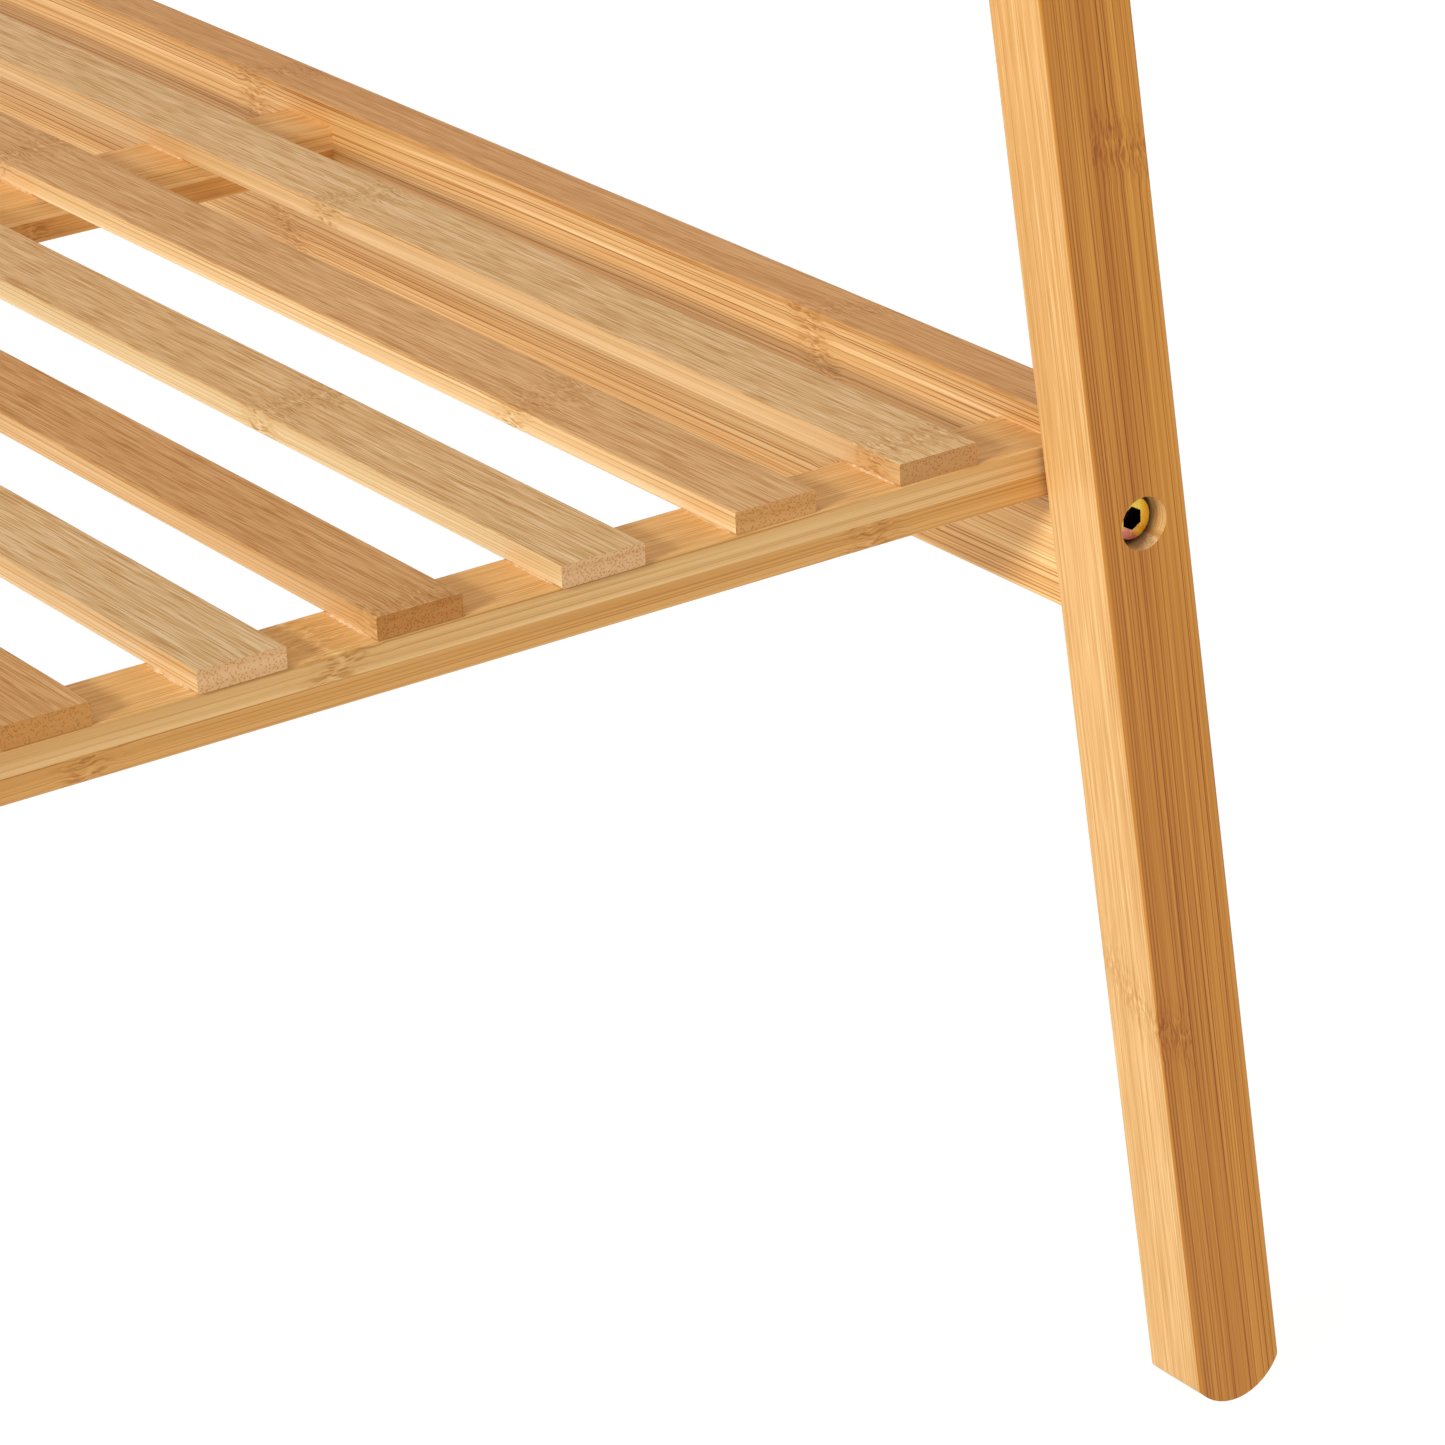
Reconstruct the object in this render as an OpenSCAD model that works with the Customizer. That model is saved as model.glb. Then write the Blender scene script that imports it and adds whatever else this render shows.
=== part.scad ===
// Bamboo entryway bench with a slatted shelf.
// X runs along the bench, Y from front to back and Z up.
// The origin is on the floor, under the middle of the seat.

/* [Bench] */
// Overall length, from leg face to leg face
bench_length = 700; // [560:10:900]
// Height of the seat above the floor
seat_height = 460; // [440:5:490]
// Angle that each leg leans outward towards the foot
leg_lean = 6.3; // [4:0.1:8]

/* [Legs] */
// Leg thickness, along X
leg_thick = 19; // [18:0.5:22]
// Leg width, across the leg from front to back
leg_wide = 25; // [24:0.5:27]
// Radius of the leg's long edges
leg_edge = 1; // [0.5:0.5:4]
// Radius of the arc that the foot is cut to
foot_radius = 14.2; // [14:0.1:20]

/* [Shelf] */
// Height of the shelf bolts above the floor
shelf_bolt_height = 235; // [200:5:260]
// Clear depth between the two shelf rails
shelf_depth = 296; // [286:1:330]
// Width of a shelf slat
shelf_slat_wide = 21.7; // [18:0.1:26]
// Thickness of a shelf slat
shelf_slat_thick = 5.4; // [4:0.1:5.8]
// Height of a shelf cross rail
shelf_cross_high = 12.2; // [10:0.1:14]

/* [Seat] */
// Width of a seat slat
seat_slat_wide = 31; // [26:0.5:33]
// Thickness of a seat slat
seat_slat_thick = 8; // [7:0.5:9]
// Height of a seat cross rail
seat_cross_high = 18; // [15:0.5:18]

/* [Rails] */
// Thickness of the long rails and the end rails
rail_thick = 16; // [15:0.5:18]
// Height of the long rails and the end rails
rail_high = 46.8; // [46:0.2:50]
// Width of a cross rail, along X
cross_wide = 23; // [20:0.5:28]
// Radius of the long edges of the rails
rail_edge = 1; // [0.5:0.5:3]

/* [Hardware] */
// Diameter of the recess that takes a bolt head
recess_diameter = 12.8; // [12:0.1:14]
// Depth of a bolt's socket face below the leg's face
bolt_sink = 4.4; // [3:0.1:5]
// Length of a bolt under its head
bolt_length = 50; // [45:1:55]
// Distance from a rail's end to the axis of its barrel nut
nut_inset = 34; // [30:1:38]

/* [Hidden] */
$fn = 64;

slat_count = 6;
SIDES = [-1, 1];

// Colours of bamboo, from pale to caramel, and of the plated steel
honey = [0.84, 0.63, 0.36];
straw = [0.90, 0.73, 0.48];
caramel = [0.77, 0.54, 0.29];
brass_yellow = [0.80, 0.64, 0.26];
steel_grey = [0.66, 0.66, 0.64];

// The rails: a bolt enters each end a little above mid height
bolt_above_rail_foot = 24.8;
rail_length = bench_length - 2 * leg_thick;
leg_inner_x = bench_length / 2 - leg_thick;
shelf_rail_y = shelf_depth / 2 + rail_thick / 2;
shelf_rail_foot = shelf_bolt_height - bolt_above_rail_foot;
shelf_rail_top = shelf_rail_foot + rail_high;
seat_rail_foot = seat_height - rail_high;
seat_bolt_height = seat_rail_foot + bolt_above_rail_foot;
seat_rail_y = shelf_rail_y - (seat_bolt_height - shelf_bolt_height) * tan(leg_lean);
seat_depth = 2 * seat_rail_y - rail_thick;

// The cross rails: slats lie on them and end just below the long rails' top edge
slat_below_rail = 0.6;
cross_set_in = 1.2;
end_cross_x = leg_inner_x - cross_set_in - cross_wide / 2;
slat_length = 2 * (end_cross_x + cross_wide / 2);
shelf_cross_top = shelf_rail_top - slat_below_rail - shelf_slat_thick;
seat_cross_top = seat_height - slat_below_rail - seat_slat_thick;
cross_edge = 0.8;
slat_edge = 0.5;

// The slats: those nearest the long rails leave the end gap, the rest share what is left
shelf_end_gap = 22.8;
seat_end_gap = 9.5;
shelf_slat_pitch = (shelf_depth - 2 * shelf_end_gap - shelf_slat_wide) / (slat_count - 1);
seat_slat_pitch = (seat_depth - 2 * seat_end_gap - seat_slat_wide) / (slat_count - 1);
// How far each shelf slat was glued off its even place, from the rear: along X, then along Y
shelf_slat_play = [[-0.7, 0], [-0.5, 0.8], [1, -0.2], [-0.1, -0.7], [0.5, 0.8], [0, 0]];

// Bolts: a low head in a recess, a plain shank for the thread
head_diameter = 11.2;
head_high = 4;
head_chamfer = 0.6;
socket_across_flats = 5;
socket_deep = 2.6;
shank_diameter = 6;
leg_hole_diameter = 6.6;
rail_hole_diameter = 7;
rail_hole_past_nut = 8;

// Barrel nuts: put in from the rail's inner face
nut_diameter = 10;
nut_long = 12;
nut_hole_diameter = 10.2;
nut_hole_deep = 14.2;
nut_slot_wide = 1.2;
nut_slot_deep = 1.5;

// Dowels, with the same chamfer at both ends
dowel_chamfer = 0.8;
cross_dowel = [6, 29];
cross_dowel_in_rail = 10.5;
cross_dowel_spread = 12;
// The seat's cross dowels lie high in their rails, so that they clear the bolts
seat_dowel_below_top = 5.5;
shelf_dowel_z = shelf_cross_top - shelf_cross_high / 2;
seat_dowel_z = seat_cross_top - seat_dowel_below_top;
end_dowel = [8, 38];
end_dowel_in_leg = 14;
end_dowel_spread = 24;
dowel_end_room = 0.5;
over = 1;

// ---- outlines and bars ----

// A rectangle with round corners, centred
module round_rect(wide, high, radius) {
    square([wide - 2 * radius, high], center = true);
    square([wide, high - 2 * radius], center = true);
    for (sx = SIDES, sy = SIDES)
        translate([sx * (wide / 2 - radius), sy * (high / 2 - radius)])
            circle(radius);
}

// A bar along X, centred on X and Y and standing on Z = 0
module bar_x(long, deep, high, edge)
    translate([0, 0, high / 2])
        rotate([90, 0, 90])
            linear_extrude(long, center = true)
                round_rect(deep, high, edge);

// A bar along Y, centred on X and Y and standing on Z = 0
module bar_y(long, deep, high, edge)
    translate([0, 0, high / 2])
        rotate([90, 0, 0])
            linear_extrude(long, center = true)
                round_rect(deep, high, edge);

// A straight round hole from a point, along +X or +Y
module hole_x(diameter, long)
    rotate([0, 90, 0])
        cylinder(d = diameter, h = long);

module hole_y(diameter, long, centred = false)
    rotate([-90, 0, 0])
        cylinder(d = diameter, h = long, center = centred);

// A dowel along Y, centred, with a chamfer at each end
module dowel_y(size) {
    r = size[0] / 2;
    half = size[1] / 2;
    rotate([-90, 0, 0])
        rotate_extrude()
            polygon([[0, -half], [r - dowel_chamfer, -half], [r, dowel_chamfer - half],
                     [r, half - dowel_chamfer], [r - dowel_chamfer, half], [0, half]]);
}

// ---- places that several pieces share ----

// Shelf and seat bolts: each entry is [distance of the rail from the middle, height]
bolt_rows = [[shelf_rail_y, shelf_bolt_height], [seat_rail_y, seat_bolt_height]];

// Distance of a leg's axis from the middle of the bench at a height
function leg_axis_y(z) = shelf_rail_y - (z - shelf_bolt_height) * tan(leg_lean);

// Heights of the two dowels at each end of an end rail
end_dowel_heights = [for (s = SIDES) seat_bolt_height + s * end_dowel_spread / 2];

// The end rail and the legs meet on the leg's inner face
leg_half_level = leg_wide / 2 / cos(leg_lean);
function leg_inner_y(z) = leg_axis_y(z) - leg_half_level;

// ---- legs ----

// Outline of a leg seen along X, from its foot arc up: the shelf bolt is at 0, 0
module leg_outline() {
    foot_axis = (shelf_bolt_height - foot_radius) / cos(leg_lean);
    corner = foot_axis + sqrt(foot_radius ^ 2 - (leg_wide / 2) ^ 2);
    translate([0, -foot_axis])
        circle(foot_radius);
    translate([-foot_radius - over, -corner])
        square([2 * (foot_radius + over), corner + seat_height]);
}

// A leg before it is drilled, with its axis along Z
module leg_bar() {
    intersection() {
        linear_extrude(2 * seat_height + 2 * foot_radius, center = true)
            round_rect(leg_thick, leg_wide, leg_edge);
        rotate([90, 0, 90])
            linear_extrude(2 * leg_thick, center = true)
                leg_outline();
    }
}

// Recess and hole for one bolt, from the leg's outer face inward
module bolt_hole_in_leg() {
    translate([-bolt_sink - head_high, 0, 0])
        hole_x(recess_diameter, bolt_sink + head_high + over);
    translate([-leg_thick - over, 0, 0])
        hole_x(leg_hole_diameter, leg_thick);
}

// The rear right leg: the others are its mirror images
module rear_right_leg() {
    difference() {
        intersection() {
            translate([bench_length / 2 - leg_thick / 2, shelf_rail_y, shelf_bolt_height])
                rotate([leg_lean, 0, 0])
                    leg_bar();
            translate([0, 0, -over])
                cube([bench_length, 2 * seat_height, seat_height + over]);
        }
        for (row = bolt_rows)
            translate([bench_length / 2, row[0], row[1]])
                bolt_hole_in_leg();
        for (z = end_dowel_heights)
            translate([bench_length / 2 - leg_thick / 2, leg_inner_y(z) - over, z])
                hole_y(end_dowel[0], end_dowel_in_leg + dowel_end_room + over);
    }
}

module leg(side_x, side_y) {
    color(honey)
        mirror([side_x < 0 ? 1 : 0, 0, 0])
            mirror([0, side_y < 0 ? 1 : 0, 0])
                rear_right_leg();
}

// ---- end rails, between the tops of two legs ----

module right_end_rail() {
    top = leg_inner_y(seat_height);
    foot = leg_inner_y(seat_rail_foot);
    x = bench_length / 2 - leg_thick / 2;
    difference() {
        intersection() {
            translate([x, 0, seat_rail_foot])
                bar_y(2 * foot + 2 * over, rail_thick, rail_high, rail_edge);
            translate([x, 0, 0])
                rotate([90, 0, 90])
                    linear_extrude(leg_thick, center = true)
                        polygon([[-foot, seat_rail_foot], [foot, seat_rail_foot],
                                 [top, seat_height], [-top, seat_height]]);
        }
        for (z = end_dowel_heights, s = SIDES)
            translate([x, s * (leg_inner_y(z) - (end_dowel[1] - end_dowel_in_leg) / 2), z])
                hole_y(end_dowel[0], end_dowel[1] - end_dowel_in_leg + 2 * dowel_end_room, true);
    }
}

module end_rail(side_x) {
    color(straw)
        mirror([side_x < 0 ? 1 : 0, 0, 0])
            right_end_rail();
}

// ---- long rails ----

// Where the cross rails stand along X, from left to right
cross_places = [-end_cross_x, 0, end_cross_x];

// A long rail behind the middle, drilled for its bolts, barrel nuts and dowels
module rear_rail(y, foot, bolt_z, dowel_z) {
    inner = y - rail_thick / 2;
    difference() {
        translate([0, y, foot])
            bar_x(rail_length, rail_thick, rail_high, rail_edge);
        for (s = SIDES) {
            translate([s * (leg_inner_x - (nut_inset + rail_hole_past_nut) / 2), y, bolt_z])
                rotate([0, 90, 0])
                    cylinder(d = rail_hole_diameter, h = nut_inset + rail_hole_past_nut + over,
                             center = true);
            translate([s * (leg_inner_x - nut_inset), inner - over, bolt_z])
                hole_y(nut_hole_diameter, nut_hole_deep + over);
        }
        for (x = cross_places, s = SIDES)
            translate([x + s * cross_dowel_spread / 2, inner - over, dowel_z])
                hole_y(cross_dowel[0], cross_dowel_in_rail + dowel_end_room + over);
    }
}

module shelf_rail(side_y) {
    color(honey)
        mirror([0, side_y < 0 ? 1 : 0, 0])
            rear_rail(shelf_rail_y, shelf_rail_foot, shelf_bolt_height, shelf_dowel_z);
}

module seat_rail(side_y) {
    color(honey)
        mirror([0, side_y < 0 ? 1 : 0, 0])
            rear_rail(seat_rail_y, seat_rail_foot, seat_bolt_height, seat_dowel_z);
}

// ---- cross rails ----

module cross_rail(x, top, high, long, dowel_z) {
    drilled = cross_dowel[1] - cross_dowel_in_rail;
    color(straw)
        difference() {
            translate([x, 0, top - high])
                bar_y(long, cross_wide, high, cross_edge);
            for (side = SIDES, s = SIDES)
                translate([x + s * cross_dowel_spread / 2, side * (long - drilled) / 2, dowel_z])
                    hole_y(cross_dowel[0], drilled + 2 * dowel_end_room, true);
        }
}

module shelf_cross_rail(place)
    cross_rail(cross_places[place], shelf_cross_top, shelf_cross_high, shelf_depth, shelf_dowel_z);

module seat_cross_rail(place)
    cross_rail(cross_places[place], seat_cross_top, seat_cross_high, seat_depth, seat_dowel_z);

// ---- slats, counted from the rear ----

module shelf_slat(i) {
    even_y = shelf_depth / 2 - shelf_end_gap - shelf_slat_wide / 2 - (i - 1) * shelf_slat_pitch;
    play = shelf_slat_play[i - 1];
    color(i % 2 == 0 ? caramel : straw)
        translate([play[0], even_y + play[1], shelf_cross_top])
            bar_x(slat_length, shelf_slat_wide, shelf_slat_thick, slat_edge);
}

module seat_slat(i) {
    y = seat_depth / 2 - seat_end_gap - seat_slat_wide / 2 - (i - 1) * seat_slat_pitch;
    color(i % 2 == 0 ? straw : caramel)
        translate([0, y, seat_cross_top])
            bar_x(slat_length, seat_slat_wide, seat_slat_thick, slat_edge);
}

// ---- bolts, barrel nuts and dowels ----

// A bolt with its socket face at 0 and its shank towards -X
module bolt() {
    r = head_diameter / 2;
    difference() {
        rotate([0, -90, 0])
            rotate_extrude()
                polygon([[0, 0], [r - head_chamfer, 0], [r, head_chamfer], [r, head_high],
                         [shank_diameter / 2, head_high],
                         [shank_diameter / 2, head_high + bolt_length], [0, head_high + bolt_length]]);
        translate([-socket_deep, 0, 0])
            rotate([0, 90, 0])
                cylinder(d = socket_across_flats / cos(30), h = socket_deep + over, $fn = 6);
    }
}

module four_bolts(row) {
    color(brass_yellow)
        for (sx = SIDES, sy = SIDES)
            translate([sx * (bench_length / 2 - bolt_sink), sy * row[0], row[1]])
                mirror([sx < 0 ? 1 : 0, 0, 0])
                    bolt();
}

// A barrel nut along Y: its slotted end faces -Y
module barrel_nut() {
    difference() {
        hole_y(nut_diameter, nut_long, true);
        rotate([0, 90, 0])
            cylinder(d = shank_diameter, h = nut_diameter + 2 * over, center = true);
        translate([0, -nut_long / 2, 0])
            cube([nut_diameter + over, 2 * nut_slot_deep, nut_slot_wide], center = true);
    }
}

module four_nuts(row) {
    color(steel_grey)
        for (sx = SIDES, sy = SIDES)
            translate([sx * (leg_inner_x - nut_inset), sy * row[0], row[1]])
                mirror([0, sy < 0 ? 1 : 0, 0])
                    barrel_nut();
}

// Two dowels at each end of each cross rail
module cross_dowels(depth, dowel_z) {
    y = depth / 2 + cross_dowel_in_rail - cross_dowel[1] / 2;
    color(straw)
        for (x = cross_places, s = SIDES, side = SIDES)
            translate([x + s * cross_dowel_spread / 2, side * y, dowel_z])
                dowel_y(cross_dowel);
}

module shelf_cross_dowels()
    cross_dowels(shelf_depth, shelf_dowel_z);

module seat_cross_dowels()
    cross_dowels(seat_depth, seat_dowel_z);

module end_rail_dowels() {
    color(straw)
        for (z = end_dowel_heights, side_x = SIDES, side_y = SIDES)
            translate([side_x * (bench_length / 2 - leg_thick / 2),
                       side_y * (leg_inner_y(z) + end_dowel_in_leg - end_dowel[1] / 2), z])
                dowel_y(end_dowel);
}

// ---- the assembly ----

leg(-1, -1);  // leg_front_left
leg(1, -1);  // leg_front_right
leg(-1, 1);  // leg_rear_left
leg(1, 1);  // leg_rear_right
end_rail(-1);  // end_rail_left
end_rail(1);  // end_rail_right
shelf_rail(-1);  // shelf_rail_front
shelf_rail(1);  // shelf_rail_rear
seat_rail(-1);  // seat_rail_front
seat_rail(1);  // seat_rail_rear
shelf_cross_rail(0);  // shelf_cross_rail_left
shelf_cross_rail(1);  // shelf_cross_rail_middle
shelf_cross_rail(2);  // shelf_cross_rail_right
seat_cross_rail(0);  // seat_cross_rail_left
seat_cross_rail(1);  // seat_cross_rail_middle
seat_cross_rail(2);  // seat_cross_rail_right
for (i = [1:slat_count]) {
    shelf_slat(i);
    seat_slat(i);
}
four_bolts(bolt_rows[0]);  // shelf_bolts
four_bolts(bolt_rows[1]);  // seat_bolts
four_nuts(bolt_rows[0]);  // shelf_barrel_nuts
four_nuts(bolt_rows[1]);  // seat_barrel_nuts
shelf_cross_dowels();
seat_cross_dowels();
end_rail_dowels();
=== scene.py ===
import math

import bmesh
import bpy
from mathutils import Matrix, Vector, noise


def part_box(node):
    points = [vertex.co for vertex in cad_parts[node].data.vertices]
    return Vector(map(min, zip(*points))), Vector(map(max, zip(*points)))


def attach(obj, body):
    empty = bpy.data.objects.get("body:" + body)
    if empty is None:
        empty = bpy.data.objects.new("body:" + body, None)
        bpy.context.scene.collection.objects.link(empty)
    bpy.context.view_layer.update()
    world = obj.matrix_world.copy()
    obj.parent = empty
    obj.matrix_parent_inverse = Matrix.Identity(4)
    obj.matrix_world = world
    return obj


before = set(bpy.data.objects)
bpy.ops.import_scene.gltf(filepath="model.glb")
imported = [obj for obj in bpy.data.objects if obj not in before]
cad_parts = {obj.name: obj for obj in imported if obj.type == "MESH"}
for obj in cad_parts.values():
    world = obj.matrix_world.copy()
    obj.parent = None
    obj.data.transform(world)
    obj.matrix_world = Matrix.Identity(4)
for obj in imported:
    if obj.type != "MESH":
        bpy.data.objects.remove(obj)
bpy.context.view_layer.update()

# Entryway bench of laminated bamboo with a slatted shelf. The CAD nodes keep their shapes, and this
# script gives each one its bamboo or metal, adds the dried glue along the slats, and lights the scene.

MM = 0.001


# ---------------------------------------------------------------- node helpers

def linear(red, green, blue):
    """A colour from 0 to 255, as seen on a screen, in the linear values that shaders use."""

    def one(level):
        share = level / 255
        return share / 12.92 if share <= 0.04045 else ((share + 0.055) / 1.055) ** 2.4

    return one(red), one(green), one(blue), 1.0


class Graph:
    """A node tree, with a short call for each kind of node used here."""

    def __init__(self, tree):
        self.tree = tree

    def node(self, kind, **settings):
        made = self.tree.nodes.new(kind)
        for name, value in settings.items():
            setattr(made, name, value)
        return made

    def put(self, socket, value):
        """Links value to the socket if it is a socket itself, and otherwise sets it there."""
        if isinstance(value, bpy.types.NodeSocket):
            self.tree.links.new(value, socket)
        else:
            socket.default_value = value

    def math(self, operation, *values, clamp=False):
        made = self.node("ShaderNodeMath", operation=operation, use_clamp=clamp)
        for socket, value in zip(made.inputs, values):
            self.put(socket, value)
        return made.outputs[0]

    def vector(self, operation, *values):
        made = self.node("ShaderNodeVectorMath", operation=operation)
        for socket, value in zip(made.inputs, values):
            self.put(socket, value)
        return made.outputs[0]

    def split(self, vector):
        made = self.node("ShaderNodeSeparateXYZ")
        self.put(made.inputs[0], vector)
        return made.outputs[:]

    def join(self, x, y, z):
        made = self.node("ShaderNodeCombineXYZ")
        for socket, value in zip(made.inputs, (x, y, z)):
            self.put(socket, value)
        return made.outputs[0]

    def mix(self, share, first, second):
        """first where share is 0 and second where it is 1, as colours."""
        made = self.node("ShaderNodeMix", data_type="RGBA", clamp_factor=True)
        self.put(made.inputs["Factor"], share)
        self.put(made.inputs[6], first)
        self.put(made.inputs[7], second)
        return made.outputs[2]

    def between(self, share, first, second):
        """first where share is 0 and second where it is 1, as numbers."""
        made = self.node("ShaderNodeMix", data_type="FLOAT", clamp_factor=True)
        self.put(made.inputs["Factor"], share)
        self.put(made.inputs[2], first)
        self.put(made.inputs[3], second)
        return made.outputs[0]

    def step(self, value, low, high):
        """A smooth rise from 0 where value is low to 1 where it is high."""
        made = self.node("ShaderNodeMapRange", interpolation_type="SMOOTHSTEP")
        self.put(made.inputs["Value"], value)
        self.put(made.inputs["From Min"], low)
        self.put(made.inputs["From Max"], high)
        return made.outputs[0]

    def hump(self, distance, width):
        """1 where distance is 0, falling away smoothly over width on both sides."""
        share = self.math("DIVIDE", distance, width)
        square = self.math("MULTIPLY", share, share)
        return self.math("EXPONENT", self.math("MULTIPLY", square, -1.0))

    def noise(self, vector, scale=1.0, detail=2.0, roughness=0.5):
        """Smooth noise about 0, from about -0.5 to 0.5, and its three-way colour."""
        made = self.node("ShaderNodeTexNoise")
        self.put(made.inputs["Vector"], vector)
        self.put(made.inputs["Scale"], scale)
        self.put(made.inputs["Detail"], detail)
        self.put(made.inputs["Roughness"], roughness)
        return self.math("SUBTRACT", made.outputs[0], 0.5), made.outputs[1]

    def voronoi(self, vector):
        """The distance to the nearest cell's middle, and a random colour for that cell."""
        made = self.node("ShaderNodeTexVoronoi")
        self.put(made.inputs["Vector"], vector)
        self.put(made.inputs["Scale"], 1.0)
        return made.outputs["Distance"], made.outputs["Color"]


def new_material(name):
    """An empty node material with its Principled shader linked to the output."""
    material = bpy.data.materials.new(name)
    material.use_nodes = True
    material.node_tree.nodes.clear()
    graph = Graph(material.node_tree)
    shader = graph.node("ShaderNodeBsdfPrincipled")
    output = graph.node("ShaderNodeOutputMaterial")
    graph.put(output.inputs["Surface"], shader.outputs[0])
    return material, graph, shader


def bump(graph, height, depth, strength):
    """A normal from a height that runs over about one unit, depth metres deep."""
    made = graph.node("ShaderNodeBump")
    graph.put(made.inputs["Strength"], strength)
    graph.put(made.inputs["Distance"], depth)
    graph.put(made.inputs["Height"], height)
    return made.outputs[0]


# ---------------------------------------------------------------- bamboo
#
# Laminated bamboo is strips of culm wall glued face to face. The pattern is worked out in a strip's
# own millimetres: u along the grain, v across the strip and w through the stack of strips. Bundles of
# fibre run along u, so they show as lines on the sides and as dots on the ends. They are dense on the
# outer side of the culm wall and sparse on the inner side, and a node of the culm crosses each strip.

BAMBOO_INPUTS = {
    "Place": ("NodeSocketVector", None),
    "Face": ("NodeSocketVector", None),
    "Seed": ("NodeSocketFloat", 0.0),
    "Layer": ("NodeSocketFloat", 6.0),
    "Flip": ("NodeSocketFloat", 0.5),
    "Node place": ("NodeSocketFloat", 0.0),
    "Node pitch": ("NodeSocketFloat", 260.0),
    "Node slant": ("NodeSocketFloat", 0.0),
    "Node skew": ("NodeSocketFloat", 0.0),
    "Node scatter": ("NodeSocketFloat", 4.0),
    "Split at": ("NodeSocketFloat", 1000.0),
    "Node split": ("NodeSocketFloat", 0.0),
    "Edge lines": ("NodeSocketFloat", 1.0),
    "Wide lines": ("NodeSocketFloat", 1.0),
    "Line width": ("NodeSocketFloat", 0.14),
    "Pores": ("NodeSocketFloat", 0.5),
    "Bands": ("NodeSocketFloat", 0.5),
    "Edge colour": ("NodeSocketColor", None),
    "Split colour": ("NodeSocketColor", None),
    "Wide colour": ("NodeSocketColor", None),
    "End colour": ("NodeSocketColor", None),
}
LINE_PITCH = 1.05  # mm between the lines that bundles of fibre draw along the grain
DOT_PITCH = 0.58  # mm between bundles on an end
NODE_REACH = 11.0  # mm either side of a node in which the fibres swirl
NODE_HALF = 6.0  # mm, half the width of a node's dark band
WARMTH = (1.0, 1.65, 3.0)  # how much faster green and blue fall than red as bamboo gets darker


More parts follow.
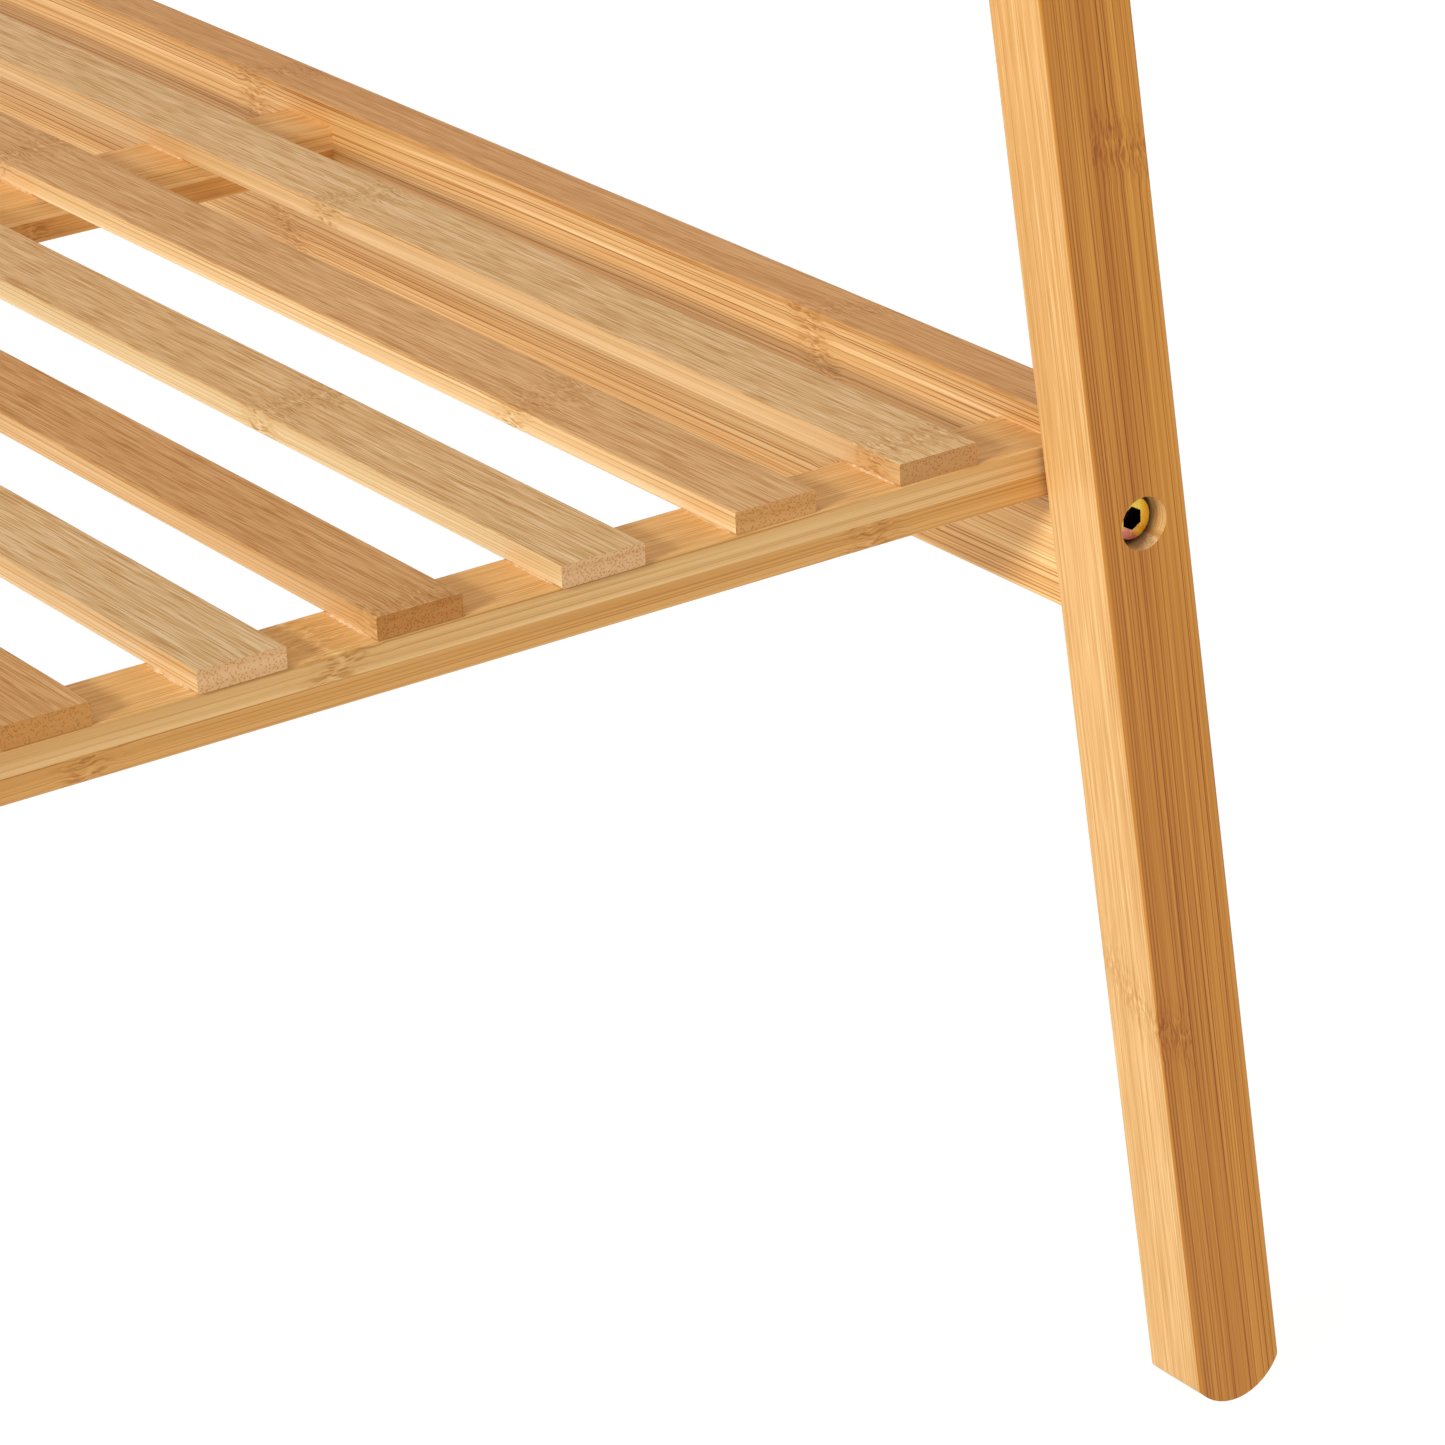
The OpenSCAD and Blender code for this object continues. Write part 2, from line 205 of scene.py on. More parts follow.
def bamboo_group():
    """The bamboo pattern as one node group: colour, roughness and height at a place in a strip."""
    group = bpy.data.node_groups.new("bamboo_strips", "ShaderNodeTree")
    for name, (kind, value) in BAMBOO_INPUTS.items():
        socket = group.interface.new_socket(name, in_out="INPUT", socket_type=kind)
        if value is not None:
            socket.default_value = value
    for name, kind in (("Colour", "Color"), ("Roughness", "Float"), ("Height", "Float")):
        group.interface.new_socket(name, in_out="OUTPUT", socket_type="NodeSocket" + kind)
    g = Graph(group)
    given = g.node("NodeGroupInput").outputs
    u, v, w = g.split(given["Place"])
    seed = given["Seed"]

    def add(total, amount, factor):
        return g.math("MULTIPLY_ADD", amount, factor, total)

    # which kind of face this is: an end, the edges of the strips, or the wide side of one strip
    across_end, _, across_wide = g.split(g.vector("MULTIPLY", given["Face"], given["Face"]))
    on_end = g.step(across_end, 0.45, 0.75)
    on_wide = g.step(across_wide, 0.35, 0.65)
    on_edge = g.math("SUBTRACT", 1.0, on_wide)

    # the strip that this place is in, and how far out in the culm wall it lies
    stack = g.math("DIVIDE", w, given["Layer"])
    layer = g.math("FLOOR", stack)
    share = g.math("FRACT", stack)
    white = g.node("ShaderNodeTexWhiteNoise")
    g.put(white.inputs["Vector"], g.join(layer, seed, 7.0))
    flipped = g.math("LESS_THAN", white.outputs["Value"], given["Flip"])
    outer = g.between(flipped, share, g.math("SUBTRACT", 1.0, share))
    scatter, strip_tone, line_shift = g.split(white.outputs["Color"])

    # the distance along the grain to the nearest node of this strip
    shift = add(given["Node place"], w, given["Node slant"])
    shift = add(shift, v, given["Node skew"])
    shift = add(shift, g.math("SUBTRACT", scatter, 0.5), given["Node scatter"])
    past_split = g.math("GREATER_THAN", w, given["Split at"])
    shift = add(shift, past_split, given["Node split"])
    half_pitch = g.math("MULTIPLY", given["Node pitch"], 0.5)
    from_node = g.math(
        "WRAP", g.math("SUBTRACT", u, shift), half_pitch, g.math("MULTIPLY", half_pitch, -1.0)
    )
    wobble, _ = g.noise(g.join(g.math("MULTIPLY", seed, 3.7), v, w), 0.3, 2.0)
    from_node = add(from_node, wobble, 7.0)
    near_node = g.hump(from_node, NODE_REACH)
    at_node = g.hump(from_node, NODE_HALF)
    node_core = g.hump(from_node, 0.9)

    # fibres drift a little along the strip, and swirl near a node
    offset = g.node("ShaderNodeVectorMath", operation="SCALE")
    g.put(offset.inputs[0], (613.0, 71.0, 97.0))
    g.put(offset.inputs["Scale"], seed)
    seeded = g.vector("ADD", given["Place"], offset.outputs[0])
    _, drift = g.noise(g.vector("MULTIPLY", seeded, (0.005, 0.02, 0.02)), 1.0, 1.0)
    _, swirl = g.noise(g.vector("MULTIPLY", seeded, (0.15, 0.35, 0.35)), 1.0, 1.0)
    drift = g.vector("MULTIPLY", g.vector("SUBTRACT", drift, (0.5, 0.5, 0.5)), (0.0, 3.0, 3.0))
    swirl = g.vector("MULTIPLY", g.vector("SUBTRACT", swirl, (0.5, 0.5, 0.5)), (0.0, 2.6, 2.6))
    swirled = g.vector("MULTIPLY", swirl, g.join(near_node, near_node, near_node))
    fibres = g.vector("ADD", seeded, g.vector("ADD", drift, swirled))
    along, fibre_v, fibre_w = g.split(fibres)
    across = g.between(on_wide, fibre_w, fibre_v)

    # lines: bundles of fibre seen from the side, long on the edges and broken up on the wide faces
    rows = g.node("ShaderNodeTexVoronoi", voronoi_dimensions="1D")
    g.put(rows.inputs["W"], add(line_shift, across, 1 / LINE_PITCH))
    g.put(rows.inputs["Scale"], 1.0)
    g.put(rows.inputs["Randomness"], 0.75)
    row_chance, row_side, _ = g.split(rows.outputs["Color"])
    line = g.hump(g.math("MULTIPLY", rows.outputs["Distance"], LINE_PITCH), given["Line width"])
    run = g.math("MULTIPLY", along, g.between(on_wide, 0.010, 0.045))
    fading, _ = g.noise(g.join(run, g.math("MULTIPLY", row_chance, 50.0), row_side), 1.0, 1.0)
    strength = g.math("MULTIPLY", g.step(fading, -0.24, 0.10), add(0.45, row_chance, 0.55))
    strength = g.math("MULTIPLY", strength, g.between(on_wide, add(0.45, outer, 0.75), 0.55))
    line = g.math("MULTIPLY", g.math("MULTIPLY", line, strength), add(1.0, at_node, -0.7))

    # streaks of two widths, short dashes at the nodes, and pores where a wide face cuts the bundles
    streak_run = g.math("MULTIPLY", along, g.between(on_wide, 0.012, 0.035))
    fine, _ = g.noise(g.join(streak_run, g.math("MULTIPLY", across, 2.4), seed), 1.0, 2.0, 0.6)
    wide_run = g.math("MULTIPLY", along, 0.005)
    bands, _ = g.noise(g.join(wide_run, g.math("MULTIPLY", across, 0.5), seed), 1.0, 1.0)
    dash, _ = g.noise(g.vector("MULTIPLY", fibres, (0.24, 2.0, 2.0)), 1.0, 1.0)
    dashes = g.step(dash, -0.02, 0.12)
    pore, _ = g.noise(g.vector("MULTIPLY", fibres, (0.07, 2.9, 2.9)), 1.0, 0.0)
    pores = g.math("MULTIPLY", g.step(pore, 0.02, 0.13), given["Pores"])

    # dots: bundles of fibre seen end on, crowded towards the outer side
    distance, cell = g.voronoi(g.vector("MULTIPLY", seeded, (0.003, 1 / DOT_PITCH, 1 / DOT_PITCH)))
    dot = g.math("ADD", g.math("DIVIDE", g.math("SUBTRACT", 0.36, distance), 0.2), 0.5, clamp=True)
    crowd = g.math("LESS_THAN", g.split(cell)[0], add(0.70, outer, 0.30))
    dot = g.math("MULTIPLY", dot, crowd)

    # how much lighter or darker than its average the bamboo is here
    lines = g.between(on_wide, given["Edge lines"], given["Wide lines"])
    tone = add(0.11, line, g.between(on_wide, -1.05, -0.62))
    tone = add(tone, fine, g.between(on_wide, 0.70, 0.85))
    tone = g.math("MULTIPLY", tone, lines)
    tone = add(tone, bands, given["Bands"])
    strip = add(g.math("MULTIPLY", g.math("SUBTRACT", strip_tone, 0.5), 0.20), outer, -0.12)
    strip = g.math("ADD", strip, 0.06)
    from_side = g.math("MINIMUM", share, g.math("SUBTRACT", 1.0, share))
    seam = g.math("MULTIPLY", from_side, given["Layer"])
    strip = add(strip, g.hump(seam, 0.14), -0.05)
    tone = add(tone, strip, on_edge)
    tone = add(tone, g.math("MULTIPLY", pores, on_wide), -0.25)
    mark = g.math("MULTIPLY", add(-0.07, dashes, -0.36), g.between(on_wide, 1.0, 0.6))
    tone = add(tone, mark, at_node)
    tone = add(tone, node_core, 0.10)
    end_tone = add(add(0.11, dot, -0.28), bands, 0.3)
    tone = g.between(on_end, tone, end_tone)

    # bamboo gets redder as it gets darker
    # strips past Split at take Split colour: a real strip tone on the legs and cross rails, but painted
    # light on the rails, whose lower strips are painted lighter than the upper ones
    edge = g.mix(past_split, given["Edge colour"], given["Split colour"])
    base = g.mix(on_end, g.mix(on_wide, edge, given["Wide colour"]), given["End colour"])
    tint = [g.math("EXPONENT", g.math("MULTIPLY", tone, rate)) for rate in WARMTH]
    colour = g.vector("MULTIPLY", base, g.join(*tint))
    colour = g.vector("MINIMUM", colour, (0.93, 0.93, 0.93))

    roughness = add(g.between(on_end, 0.50, 0.68), fine, 0.16)
    roughness = add(roughness, line, 0.06)
    result = g.node("NodeGroupOutput")
    g.put(result.inputs["Colour"], colour)
    g.put(result.inputs["Roughness"], roughness)
    g.put(result.inputs["Height"], add(fine, line, -0.5))
    return group


BAMBOO = bamboo_group()


def bamboo(name, axes, origin, **pattern):
    """A bamboo material whose strips have the directions axes (u, v, w) and start at origin, in metres."""
    material, g, shader = new_material(name)
    turn = Matrix(axes)
    place = g.node("ShaderNodeTexCoord")
    mapping = g.node("ShaderNodeMapping", vector_type="POINT")
    g.put(mapping.inputs["Vector"], place.outputs["Object"])
    mapping.inputs["Scale"].default_value = (1 / MM, 1 / MM, 1 / MM)
    mapping.inputs["Rotation"].default_value = turn.to_euler("XYZ")
    mapping.inputs["Location"].default_value = -(turn @ Vector(origin)) / MM
    facing = g.node("ShaderNodeMapping", vector_type="VECTOR")
    g.put(facing.inputs["Vector"], place.outputs["Normal"])
    facing.inputs["Rotation"].default_value = turn.to_euler("XYZ")
    strips = g.node("ShaderNodeGroup", node_tree=BAMBOO)
    g.put(strips.inputs["Place"], mapping.outputs[0])
    g.put(strips.inputs["Face"], facing.outputs[0])
    for socket, value in pattern.items():
        strips.inputs[socket.replace("_", " ").capitalize()].default_value = value
    g.put(shader.inputs["Base Color"], strips.outputs["Colour"])
    g.put(shader.inputs["Roughness"], strips.outputs["Roughness"])
    g.put(shader.inputs["Normal"], bump(g, strips.outputs["Height"], 0.00012, 0.35))
    shader.inputs["IOR"].default_value = 1.42
    return material


def paint(node, material):
    """Gives a CAD node its material."""
    node_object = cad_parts[node]
    if not node_object.material_slots:
        raise RuntimeError(f"{node} has no material slot")
    for slot in node_object.material_slots:
        slot.link = "OBJECT"
        slot.material = material


X, Y, Z = Vector((1, 0, 0)), Vector((0, 1, 0)), Vector((0, 0, 1))


def corner(node):
    """The lowest corner of a CAD node's box."""
    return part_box(node)[0]


def middle(node):
    """The middle of a CAD node's box."""
    low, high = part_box(node)
    return (low + high) / 2


# ---------------------------------------------------------------- the bench's bamboo pieces

LEG_LEAN = math.radians(6.3)
LEG_STRIP = 5.0
RAIL_STRIP = 5.75
CROSS_STRIP = 6.1

LEG_TONES = dict(
    edge_colour=linear(199, 127, 41),
    split_colour=linear(201, 129, 41),
    wide_colour=linear(220, 170, 102),
    end_colour=linear(218, 172, 114),
)


def paint_legs():
    """Five strips of 5 mm, glued face to face from the leg's front to its back."""
    seeds = {"rear_right": 1, "rear_left": 2, "front_right": 3, "front_left": 4}
    for corner_name, seed in seeds.items():
        node = "leg_" + corner_name
        side = -1 if corner_name.startswith("rear") else 1
        along = Vector((0, side * math.sin(LEG_LEAN), math.cos(LEG_LEAN)))
        across = along.cross(X)
        start = middle(node) - across * 2.5 * LEG_STRIP * MM
        paint(
            node,
            bamboo(
                "bamboo_" + node,
                (along, X, across),
                start,
                seed=seed,
                layer=LEG_STRIP,
                flip=0.4,
                node_place=-116.0 + 61 * (seed - 1),
                node_pitch=430.0,
                node_slant=-0.5,
                node_skew=-0.75,
                node_scatter=3.0,
                split_at=2 * LEG_STRIP,
                node_split=228.5,
                edge_lines=0.85,
                wide_lines=0.7,
                pores=0.2,
                bands=0.45,
                **LEG_TONES,
            ),
        )


# Painted light: on every rail the four lowest strips (edge_colour) are painted lighter than the strips
# above them (split_colour), standing in for how the light falls on the rail's lower part.
RAIL_TONES_AND_PAINTED_LIGHT = dict(
    edge_colour=linear(232, 180, 110),
    split_colour=linear(209, 160, 95),
    wide_colour=linear(210, 158, 97),
    end_colour=linear(210, 164, 104),
)


def paint_long_rails():
    """Strips lying flat, one on another, so that their edges show on the rail's faces."""
    nodes = ("shelf_rail_rear", "shelf_rail_front", "seat_rail_rear", "seat_rail_front")
    for seed, node in enumerate(nodes, start=11):
        start = Vector((0, middle(node).y, corner(node).z))
        paint(
            node,
            bamboo(
                "bamboo_" + node,
                (X, Y, Z),
                start,
                seed=seed,
                layer=RAIL_STRIP,
                flip=0.45,
                node_place=258.0 + 83 * (seed - 11),
                node_pitch=262.0,
                node_slant=-0.4,
                node_skew=1.2,
                node_scatter=5.0,
                # painted light: the four lowest strips are painted lighter than the strips above them
                split_at=4 * RAIL_STRIP,
                edge_lines=0.9,
                wide_lines=0.6,
                pores=0.7,
                bands=0.4,
                **RAIL_TONES_AND_PAINTED_LIGHT,
            ),
        )


def paint_end_rails():
    """The same lamination as the long rails, running from front to back."""
    for seed, node in enumerate(("end_rail_left", "end_rail_right"), start=21):
        start = Vector((middle(node).x, 0, corner(node).z))
        paint(
            node,
            bamboo(
                "bamboo_" + node,
                (Y, -X, Z),
                start,
                seed=seed,
                layer=RAIL_STRIP,
                flip=0.45,
                node_place=64.0 * (seed - 21.5),
                node_pitch=270.0,
                node_scatter=9.0,
                # painted light: the four lowest strips are painted lighter than the strips above them
                split_at=4 * RAIL_STRIP,
                edge_lines=0.9,
                wide_lines=0.6,
                pores=0.7,
                bands=0.4,
                **RAIL_TONES_AND_PAINTED_LIGHT,
            ),
        )


CROSS_TONES = dict(
    edge_colour=linear(213, 155, 81),
    split_colour=linear(229, 183, 119),
    wide_colour=linear(222, 174, 107),
    end_colour=linear(212, 164, 104),
)


def paint_cross_rails():
    """Two strips on the shelf's cross rails and three on the seat's."""
    for level, layer in (("shelf", CROSS_STRIP), ("seat", 6.0)):
        for number, side in enumerate(("right", "middle", "left")):
            node = f"{level}_cross_rail_{side}"
            start = Vector((middle(node).x, 0, corner(node).z))
            paint(
                node,
                bamboo(
                    "bamboo_" + node,
                    (Y, -X, Z),
                    start,
                    seed=31 + number + (10 if level == "seat" else 0),
                    layer=layer,
                    flip=0.3,
                    node_place=95.0 - 40 * number,
                    node_pitch=200.0,
                    node_scatter=3.0,
                    split_at=CROSS_STRIP,
                    node_split=-140.0,
                    edge_lines=0.4,
                    wide_lines=0.7,
                    pores=0.5,
                    bands=0.35,
                    **CROSS_TONES,
                ),
            )


# each slat's top, edge and end colours, and where a culm node crosses it, in mm from the middle
SLAT_LOOKS = (
    ((220, 184, 129), (219, 180, 126), (189, 134, 74), 318.0, 237.0),
    ((212, 170, 113), (224, 184, 126), (200, 140, 74), 239.0, 250.0),
    ((213, 179, 126), (219, 187, 134), (212, 161, 106), 203.0, 265.0),
    ((199, 154, 97), (204, 158, 98), (179, 115, 48), 60.0, 270.0),
    ((211, 180, 131), (218, 181, 127), (215, 164, 107), 150.0, 240.0),
    ((205, 159, 102), (212, 166, 110), (191, 129, 59), 10.0, 255.0),
)


def paint_slats():
    """Each slat is one strip lying flat, with its dense outer side up."""
    for level, first_seed in (("shelf", 51), ("seat", 71)):
        for number, (top, edge, end, place, pitch) in enumerate(SLAT_LOOKS):
            if level == "seat":
                place += 97.0
            node = f"{level}_slat_{number + 1}"
            low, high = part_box(node)
            paint(
                node,
                bamboo(
                    "bamboo_" + node,
                    (X, Y, Z),
                    Vector((0, low.y, low.z - 0.05 * MM)),
                    seed=first_seed + number,
                    layer=(high.z - low.z) / MM + 0.1,
                    flip=0.0,
                    node_place=place,
                    node_pitch=pitch,
                    node_slant=0.0,
                    node_scatter=0.0,
                    edge_lines=0.5,
                    wide_lines=0.7,
                    pores=1.0,
                    bands=0.3,
                    wide_colour=linear(*top),
                    edge_colour=linear(*edge),
                    end_colour=linear(*end),
                ),
            )


paint_legs()
paint_long_rails()
paint_end_rails()
paint_cross_rails()
paint_slats()


# ---------------------------------------------------------------- metal, dowels and glue

BOLT_HEAD = 11.2 * MM
BOLT_SOCKET = 5.0 * MM
HEX_CORNER = 0.58  # how far a hexagon's corners reach from its middle, in widths across flats


def yellow_zinc(node):
    """Yellow-plated steel: gold with rosy patches, and painted shade: each bolt head's hex socket and a
    ring at the head's rim are painted near black.
    """
    material, g, shader = new_material("yellow_zinc_" + node)
    low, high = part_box(node)
    place = g.node("ShaderNodeTexCoord").outputs["Object"]
    cloud, _ = g.noise(place, 240.0, 3.0, 0.6)
    scratch, _ = g.noise(g.vector("MULTIPLY", place, (900.0, 2600.0, 2600.0)), 1.0, 2.0)
    x, y, z = g.split(g.vector("ABSOLUTE", place))
    off_y = g.math("SUBTRACT", y, high.y - BOLT_HEAD / 2)
    off_z = g.math("SUBTRACT", z, (low.z + high.z) / 2)
    downhill = g.math("MULTIPLY", g.math("ADD", off_y, off_z), -0.5 / BOLT_HEAD)
    rosy = g.step(g.math("ADD", cloud, downhill), 0.08, 0.24)
    plating = g.mix(rosy, linear(236, 204, 84), linear(206, 128, 116))
    square_y = g.math("MULTIPLY", off_y, off_y)
    square_z = g.math("MULTIPLY", off_z, off_z)
    reach = g.math("SQRT", g.math("ADD", square_y, square_z))
    # painted shade: a dark ring at the head's rim for the shaded gap round the head, and near black in the
    # hex socket below the head's face
    shaded_rim = g.step(reach, 0.44 * BOLT_HEAD, 0.49 * BOLT_HEAD)
    in_socket = g.math("LESS_THAN", reach, HEX_CORNER * BOLT_SOCKET)
    below_face = g.math("LESS_THAN", x, high.x - 0.15 * MM)
    painted_shade = g.math("MAXIMUM", shaded_rim, g.math("MULTIPLY", in_socket, below_face))
    # the near-black colour here is the painted shade
    g.put(shader.inputs["Base Color"], g.mix(painted_shade, plating, (0.022, 0.013, 0.008, 1.0)))
    g.put(shader.inputs["Roughness"], g.math("MULTIPLY_ADD", cloud, 0.2, 0.27))
    g.put(shader.inputs["Normal"], bump(g, scratch, 0.00002, 0.2))
    shader.inputs["Metallic"].default_value = 1.0
    return material


def plain_zinc():
    """Dull zinc with fine turning marks, for the barrel nuts."""
    material, g, shader = new_material("bright_zinc")
    place = g.node("ShaderNodeTexCoord").outputs["Object"]
    cloud, _ = g.noise(place, 300.0, 3.0, 0.6)
    turning, _ = g.noise(g.vector("MULTIPLY", place, (700.0, 4500.0, 700.0)), 1.0, 2.0)
    colour = g.mix(g.step(cloud, -0.3, 0.3), linear(150, 150, 152), linear(196, 198, 202))
    g.put(shader.inputs["Base Color"], colour)
    g.put(shader.inputs["Roughness"], g.math("MULTIPLY_ADD", turning, 0.25, 0.34))
    g.put(shader.inputs["Normal"], bump(g, turning, 0.00003, 0.3))
    shader.inputs["Metallic"].default_value = 1.0
    return material


def dowel_wood():
    """Pale beech with fine pores."""
    material, g, shader = new_material("dowel_beech")
    place = g.node("ShaderNodeTexCoord").outputs["Object"]
    fleck, _ = g.noise(g.vector("MULTIPLY", place, (900.0, 160.0, 900.0)), 1.0, 3.0)
    colour = g.mix(g.step(fleck, -0.3, 0.3), linear(204, 168, 126), linear(226, 198, 160))
    g.put(shader.inputs["Base Color"], colour)
    g.put(shader.inputs["Roughness"], g.math("MULTIPLY_ADD", fleck, 0.2, 0.62))
    g.put(shader.inputs["Normal"], bump(g, fleck, 0.00005, 0.4))
    return material


for bolts in ("shelf_bolts", "seat_bolts"):
    paint(bolts, yellow_zinc(bolts))
zinc = plain_zinc()
for nuts in ("shelf_barrel_nuts", "seat_barrel_nuts"):
    paint(nuts, zinc)
beech = dowel_wood()
for dowels in ("shelf_cross_dowels", "seat_cross_dowels", "end_rail_dowels"):
    paint(dowels, beech)


def dried_glue():
    """Wood glue dried in lumps: pale, a little pink and slightly see-through."""
    material, g, shader = new_material("dried_glue")
    place = g.node("ShaderNodeTexCoord").outputs["Object"]
    cloud, _ = g.noise(place, 900.0, 2.0)
    colour = g.mix(g.step(cloud, -0.2, 0.2), linear(216, 172, 118), linear(230, 200, 160))
    g.put(shader.inputs["Base Color"], colour)
    g.put(shader.inputs["Roughness"], g.math("MULTIPLY_ADD", cloud, 0.25, 0.45))
    g.put(shader.inputs["Normal"], bump(g, cloud, 0.0001, 0.3))
    return material


GLUE_STEP = 0.7 * MM
GLUE_SIDES = 5  # faces across a bead
GLUE_ROOT = 0.25 * MM  # how far a bead reaches into the slat and the cross rail
GLUE_LEAST = 0.12 * MM  # a bead's smallest reach
GLUE_FROM_LEFT = 1.5 * MM  # bare wood before a bead, from the cross rail's left side
GLUE_FROM_RIGHT = 3.0 * MM  # and after it, up to the right side


def glue_bead(mesh, start, length, size, seed):
    """A lumpy fillet along X, in the corner under a slat's front edge. start is the corner."""
    rings = []
    count = max(4, round(length / GLUE_STEP))
    for i in range(count + 1):
        along = i / count
        lump = noise.noise(Vector((i * 0.37, seed * 5.3, 0.0)))
        fine_lump = noise.noise(Vector((i * 1.1, seed * 2.9, 4.0)))
        taper = math.sin(math.pi * min(1, 4 * min(along, 1 - along)) / 2)
        reach = size * (0.35 + 0.65 * taper) * (0.55 + 0.9 * lump + 0.3 * fine_lump)
        reach = max(reach, GLUE_LEAST)
        ring = [Vector((0, GLUE_ROOT, -GLUE_ROOT))]
        for side in range(GLUE_SIDES + 1):
            turn = math.pi / 2 * side / GLUE_SIDES
            bulge = reach * (0.72 + 0.28 * math.cos(2 * turn) ** 2)
            ring.append(Vector((0, -bulge * math.cos(turn), bulge * math.sin(turn))))
        ring[1] += Vector((0, 0, -GLUE_ROOT))
        ring[-1] += Vector((0, GLUE_ROOT, 0))
        here = start + Vector((along * length, 0, 0))
        rings.append([mesh.verts.new(here + point) for point in ring])
    for before, after in zip(rings, rings[1:]):
        for i in range(len(before)):
            j = (i + 1) % len(before)
            mesh.faces.new((before[i], after[i], after[j], before[j]))
    mesh.faces.new(rings[0])
    mesh.faces.new(list(reversed(rings[-1])))


# how much glue was squeezed out along each slat's front edge, in mm
GLUE_SIZES = (0.7, 0.4, 0.4, 0.8, 0.9, 0.5)


def add_glue(level, material):
    """The glue squeezed out under the slats of one level, as one piece."""
    mesh = bmesh.new()
    for number, size in enumerate(GLUE_SIZES):
        slat = corner(f"{level}_slat_{number + 1}")
        for side in ("left", "middle", "right"):
            low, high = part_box(f"{level}_cross_rail_{side}")
            seed = number + {"left": 11, "middle": 23, "right": 37}[side]
            start = Vector((low.x + GLUE_FROM_LEFT, slat.y, high.z))
            length = high.x - low.x - GLUE_FROM_LEFT - GLUE_FROM_RIGHT
            glue_bead(mesh, start, length, size * MM, seed)
    bmesh.ops.recalc_face_normals(mesh, faces=mesh.faces)
    data = bpy.data.meshes.new(level + "_glue")
    mesh.to_mesh(data)
    mesh.free()
    for face in data.polygons:
        face.use_smooth = True
    data.materials.append(material)
    piece = bpy.data.objects.new(level + "_glue", data)
    bpy.context.scene.collection.objects.link(piece)
    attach(piece, "root")


glue = dried_glue()
for level in ("shelf", "seat"):
    add_glue(level, glue)


# ---------------------------------------------------------------- floor, light and camera

FLOOR_GLOW = 0.82  # how bright the floor is as a light
WALL_GLOW = 0.38  # how bright the surround is as a light, level with the bench
CEILING_GLOW = 0.46  # and overhead
FLOOR_LOOK = 0.94  # how bright the camera sees the floor
WALL_LOOK = 0.97  # and the surround
FLOOR_HALF = 9.0  # metres, half the floor's width


def make_floor():
    """A plain floor that looks nearly white and lights the bench less than a white floor would."""
    mesh = bpy.data.meshes.new("floor")
    corners = [(FLOOR_HALF * x, FLOOR_HALF * y, 0) for x, y in ((-1, -1), (1, -1), (1, 1), (-1, 1))]
    mesh.from_pydata(corners, [], [(0, 1, 2, 3)])
    floor = bpy.data.objects.new("floor", mesh)
    bpy.context.scene.collection.objects.link(floor)
    material, g, shader = new_material("floor_white")
    shader.inputs["Base Color"].default_value = (0.12, 0.12, 0.12, 1)
    shader.inputs["Roughness"].default_value = 0.9
    shader.inputs["Specular IOR Level"].default_value = 0.0
    shader.inputs["Emission Color"].default_value = (1, 1, 1, 1)
    seen = g.node("ShaderNodeLightPath").outputs["Is Camera Ray"]
    g.put(shader.inputs["Emission Strength"], g.between(seen, FLOOR_GLOW, FLOOR_LOOK))
    mesh.materials.append(material)


def make_world():
    """A surround that looks nearly white and lights the bench softly from every side."""
    world = bpy.data.worlds.new("studio")
    world.use_nodes = True
    world.node_tree.nodes.clear()
    g = Graph(world.node_tree)
    rise = g.split(g.node("ShaderNodeTexCoord").outputs["Generated"])[2]
    seen = g.node("ShaderNodeLightPath").outputs["Is Camera Ray"]
    glow = g.between(g.step(rise, 0.0, 0.7), WALL_GLOW, CEILING_GLOW)
    background = g.node("ShaderNodeBackground")
    g.put(background.inputs["Strength"], g.between(seen, glow, WALL_LOOK))
    g.put(background.inputs["Color"], (1, 1, 1, 1))
    g.put(g.node("ShaderNodeOutputWorld").inputs["Surface"], background.outputs[0])
    bpy.context.scene.world = world


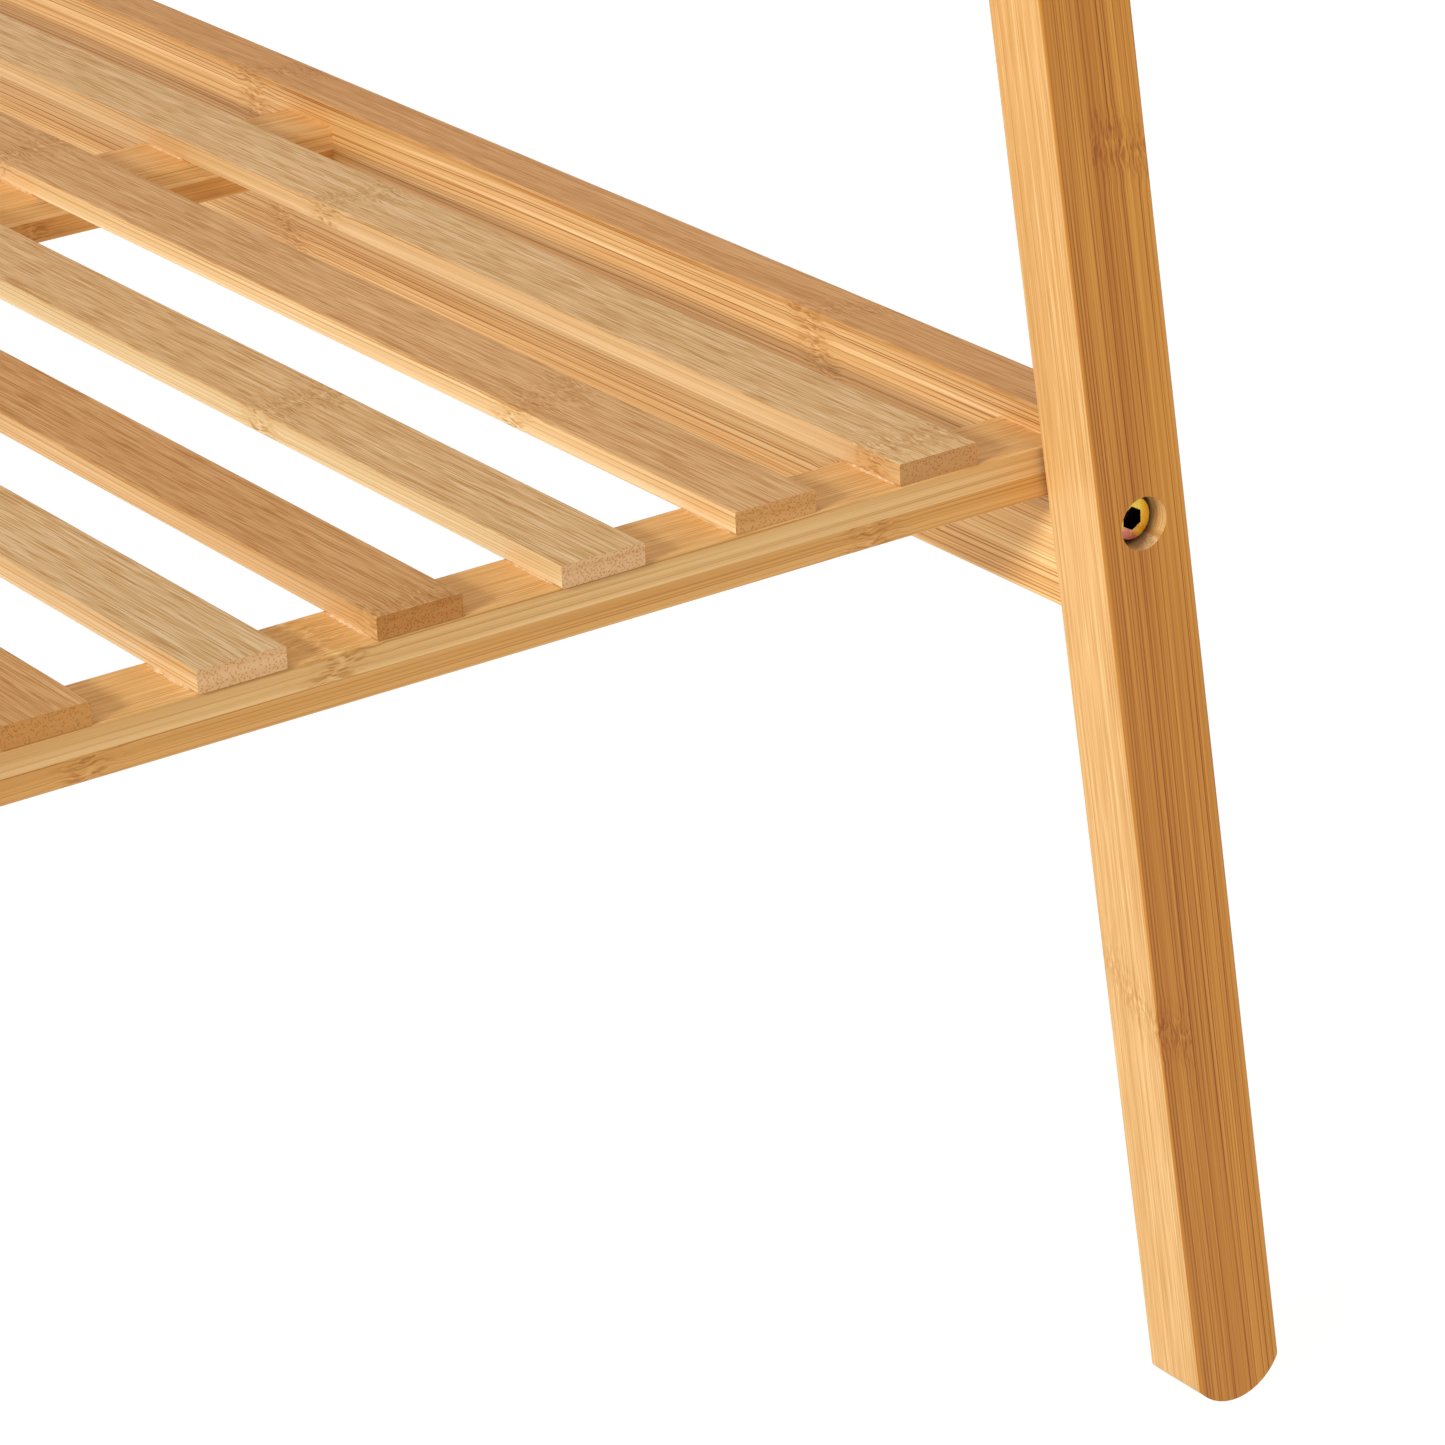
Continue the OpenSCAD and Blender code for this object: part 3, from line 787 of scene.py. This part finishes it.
def area_light(name, azimuth, elevation, distance, size, share, target):
    """A soft light on that bearing from the target. Azimuth 0 is in front of the bench.

    size is its width and height, and share is how bright it makes a white card that faces it.
    """
    light = bpy.data.lights.new(name, "AREA")
    light.shape = "RECTANGLE"
    light.size, light.size_y = size
    light.energy = share * (math.pi * distance) ** 2
    lamp = bpy.data.objects.new(name, light)
    a, e = math.radians(azimuth), math.radians(elevation)
    out = Vector((math.sin(a) * math.cos(e), -math.cos(a) * math.cos(e), math.sin(e)))
    lamp.location = target + out * distance
    lamp.rotation_mode = "QUATERNION"
    lamp.rotation_quaternion = (-out).to_track_quat("-Z", "Y")
    lamp.visible_camera = False
    bpy.context.scene.collection.objects.link(lamp)
    return lamp


CAMERA_PLACE = Vector((1.3574, -0.6335, 0.7339))
CAMERA_AZIMUTH = math.radians(56.28)
CAMERA_ELEVATION = math.radians(23.05)
CAMERA_ROLL = math.radians(-2.64)
CAMERA_LENS = 150.66
SENSOR = 36.0


def make_camera():
    """A close view of the shelf's right end and the rear right leg, through a long lens."""
    data = bpy.data.cameras.new("camera")
    data.lens = CAMERA_LENS
    data.sensor_width = SENSOR
    data.clip_start = 0.05
    data.clip_end = 50
    camera = bpy.data.objects.new("camera", data)
    a, e, r = CAMERA_AZIMUTH, CAMERA_ELEVATION, CAMERA_ROLL
    look = Vector((-math.sin(a) * math.cos(e), math.cos(a) * math.cos(e), -math.sin(e)))
    level = look.cross(Z).normalized()
    upright = level.cross(look)
    right = level * math.cos(r) + upright * math.sin(r)
    up = upright * math.cos(r) - level * math.sin(r)
    turned = Matrix((right, up, -look)).transposed().to_4x4()
    camera.matrix_world = Matrix.Translation(CAMERA_PLACE) @ turned
    bpy.context.scene.collection.objects.link(camera)
    bpy.context.scene.camera = camera


def let_past(lamp, nodes):
    """These CAD nodes throw no shadow from this lamp."""
    passed = bpy.data.collections.new(lamp.name + "_passes")
    for node in nodes:
        passed.objects.link(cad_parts[node])
    for entry in passed.collection_objects:
        entry.light_linking.link_state = "EXCLUDE"
    lamp.light_linking.blocker_collection = passed


make_floor()
make_world()
bench_middle = Vector((0, 0, 0.25))
seat = [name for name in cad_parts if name.startswith(("seat_", "end_rail"))]
front_legs = ["leg_front_right", "leg_front_left"]
key = area_light(
    "key", azimuth=23.4, elevation=22.4, distance=3.0, size=(0.7, 0.35), share=0.60, target=bench_middle
)
overhead = area_light(
    "overhead", azimuth=20, elevation=70, distance=3.0, size=(2.4, 2.4), share=0.28, target=bench_middle
)
let_past(key, seat + front_legs)
let_past(overhead, seat)
make_camera()
bpy.context.scene.view_settings.view_transform = "Standard"
